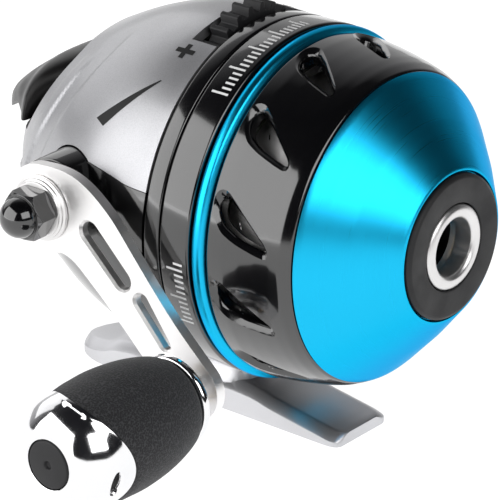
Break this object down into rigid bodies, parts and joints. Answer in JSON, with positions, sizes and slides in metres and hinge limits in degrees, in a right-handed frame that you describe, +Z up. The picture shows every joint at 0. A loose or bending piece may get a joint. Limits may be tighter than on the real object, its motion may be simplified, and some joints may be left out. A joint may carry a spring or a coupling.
{
  "type": "spincast fishing reel",
  "caption": "Closed-face spincast fishing reel with a side crank, foam knob, thumb button, drag dial, vented removable nose cover and a foot for a rod seat.",
  "frame": {"origin": "centre of the flat seat under the reel foot", "axes": "+Z up, square to the seat; -Y towards the nose, where the line leaves; -X towards the crank; the main axis runs along Y, 40.5 mm above the seat"},
  "size_m": [0.102, 0.098, 0.0735],
  "materials": {
    "anodised_blue": "satin blue anodised",
    "gloss_black": "gloss black",
    "matte_black": "matte black",
    "silver_paint": "silver-grey paint",
    "satin_steel": "satin",
    "polished_aluminium": "polished",
    "cast_aluminium": "satin cast",
    "black_foam": "matte foam",
    "chrome": "polished",
    "brass": "machined",
    "grey_nylon": "moulded",
    "clear_line": "wound fishing line",
    "fibre": "pressed felt"
  },
  "bodies": {
    "frame": {"reel_foot": "cast_aluminium", "foot_screw_front": "satin_steel", "foot_screw_rear": "satin_steel", "front_band": "gloss_black", "main_frame": "gloss_black", "rear_cover": "silver_paint", "lower_housing": "gloss_black", "cover_screw_left": "satin_steel", "cover_screw_right": "satin_steel", "housing_screw": "satin_steel", "pinion_bracket": "satin_steel", "oneway_clutch": "satin_steel", "crank_bearing_outer": "satin_steel", "crank_bearing_balls": "satin_steel", "dial_pin": "satin_steel", "drag_washer": "fibre", "pressure_plate": "satin_steel", "wave_spring": "satin_steel", "spool_clip": "satin_steel", "return_spring": "satin_steel"},
    "cover": {"trim_ring": "anodised_blue", "vent_ring": "gloss_black", "front_cone": "anodised_blue", "nose_collar": "matte_black", "line_guide_ring": "satin_steel"},
    "crank": {"crank_shaft": "satin_steel", "drive_gear": "brass", "gear_clip": "satin_steel", "clutch_sleeve": "satin_steel", "crank_bearing_inner": "satin_steel", "crank_arm": "polished_aluminium", "arm_washer": "satin_steel", "acorn_nut": "gloss_black", "knob_spindle": "satin_steel"},
    "knob": {"knob_grip": "black_foam", "knob_cap": "chrome", "knob_base_ring": "chrome", "knob_plug": "matte_black", "knob_bush": "brass"},
    "pinion_body": {"pinion": "brass"},
    "head": {"spinner_head": "satin_steel", "centre_shaft": "satin_steel", "head_nut": "brass"},
    "pin": {"pickup_pin": "chrome"},
    "spool_body": {"spool": "polished_aluminium", "line_winding": "clear_line", "spool_bush": "grey_nylon"},
    "dial": {"drag_dial": "matte_black"},
    "nut": {"drag_nut": "brass"},
    "button": {"thumb_button": "gloss_black", "button_carrier": "grey_nylon"}
  },
  "joints": [
    {"name": "cover_pull", "type": "slide", "parent": "frame", "child": "cover", "axis": [0, -1, 0], "range_m": [0, 0.045]},
    {"name": "crank_spin", "type": "hinge", "parent": "frame", "child": "crank", "pos_m": [-0.03, 0.0099, 0.0435], "axis": [1, 0, 0], "continuous": true},
    {"name": "knob_spin", "type": "hinge", "parent": "crank", "child": "knob", "pos_m": [-0.05, -0.0226, 0.0196], "axis": [1, 0, 0], "continuous": true},
    {"name": "pinion_spin", "type": "hinge", "parent": "frame", "child": "pinion_body", "pos_m": [0, 0, 0.0405], "axis": [0, 1, 0], "continuous": true},
    {"name": "head_slide", "type": "slide", "parent": "pinion_body", "child": "head", "axis": [0, -1, 0], "range_m": [0, 0.005], "deforming": ["return_spring"]},
    {"name": "pin_slide", "type": "slide", "parent": "head", "child": "pin", "axis": [-1, 0, 0], "range_m": [0, 0.0014]},
    {"name": "spool_spin", "type": "hinge", "parent": "frame", "child": "spool_body", "pos_m": [0, 0, 0.0405], "axis": [0, 1, 0], "continuous": true},
    {"name": "drag_turn", "type": "hinge", "parent": "frame", "child": "dial", "pos_m": [0, -0.0056, 0.061], "axis": [0, 1, 0], "range_deg": [-150, 150]},
    {"name": "nut_turn", "type": "hinge", "parent": "frame", "child": "nut", "pos_m": [0, 0, 0.0405], "axis": [0, 1, 0], "range_deg": [-212, 212]},
    {"name": "button_press", "type": "slide", "parent": "frame", "child": "button", "axis": [0, -1, 0], "range_m": [0, 0.005], "stiffness_N_per_m": 1200, "springref_m": -0.002}
  ],
  "couplings": [
    {"joint": "pinion_spin", "follows": "crank_spin", "ratio": -4},
    {"joint": "nut_turn", "follows": "drag_turn", "ratio": -1.4118},
    {"joint": "head_slide", "follows": "button_press", "ratio": 1},
    {"joint": "pin_slide", "follows": "button_press", "ratio": 0.28}
  ]
}
